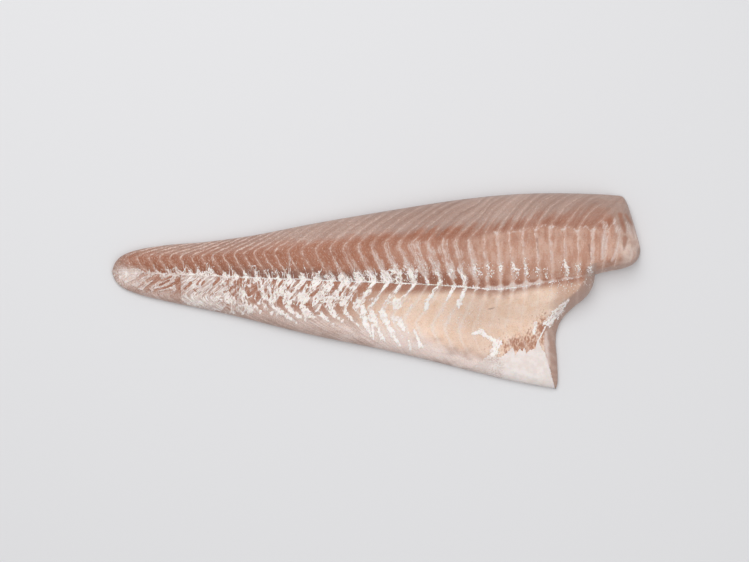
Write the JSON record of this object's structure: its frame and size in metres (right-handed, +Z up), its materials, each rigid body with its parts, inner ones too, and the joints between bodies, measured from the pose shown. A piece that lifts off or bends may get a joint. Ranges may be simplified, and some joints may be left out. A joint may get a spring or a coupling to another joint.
{
  "type": "cod fillet",
  "caption": "Whole skinless raw cod fillet, a long flat wedge of flaky pink flesh with a thick loin, a thin belly flap and a rounded tail tip.",
  "frame": {"origin": "middle of the underside, on the surface that the fillet lies on", "axes": "+X from the tail tip to the head end, +Y to the back edge, +Z up out of the skinned side"},
  "size_m": [0.4198, 0.1554, 0.028],
  "materials": {
    "fish_flesh": "moist raw fish flesh, pink to cream, with pale muscle lines and torn white membrane"
  },
  "bodies": {
    "root": {"cod_fillet": "fish_flesh"}
  },
  "joints": []
}
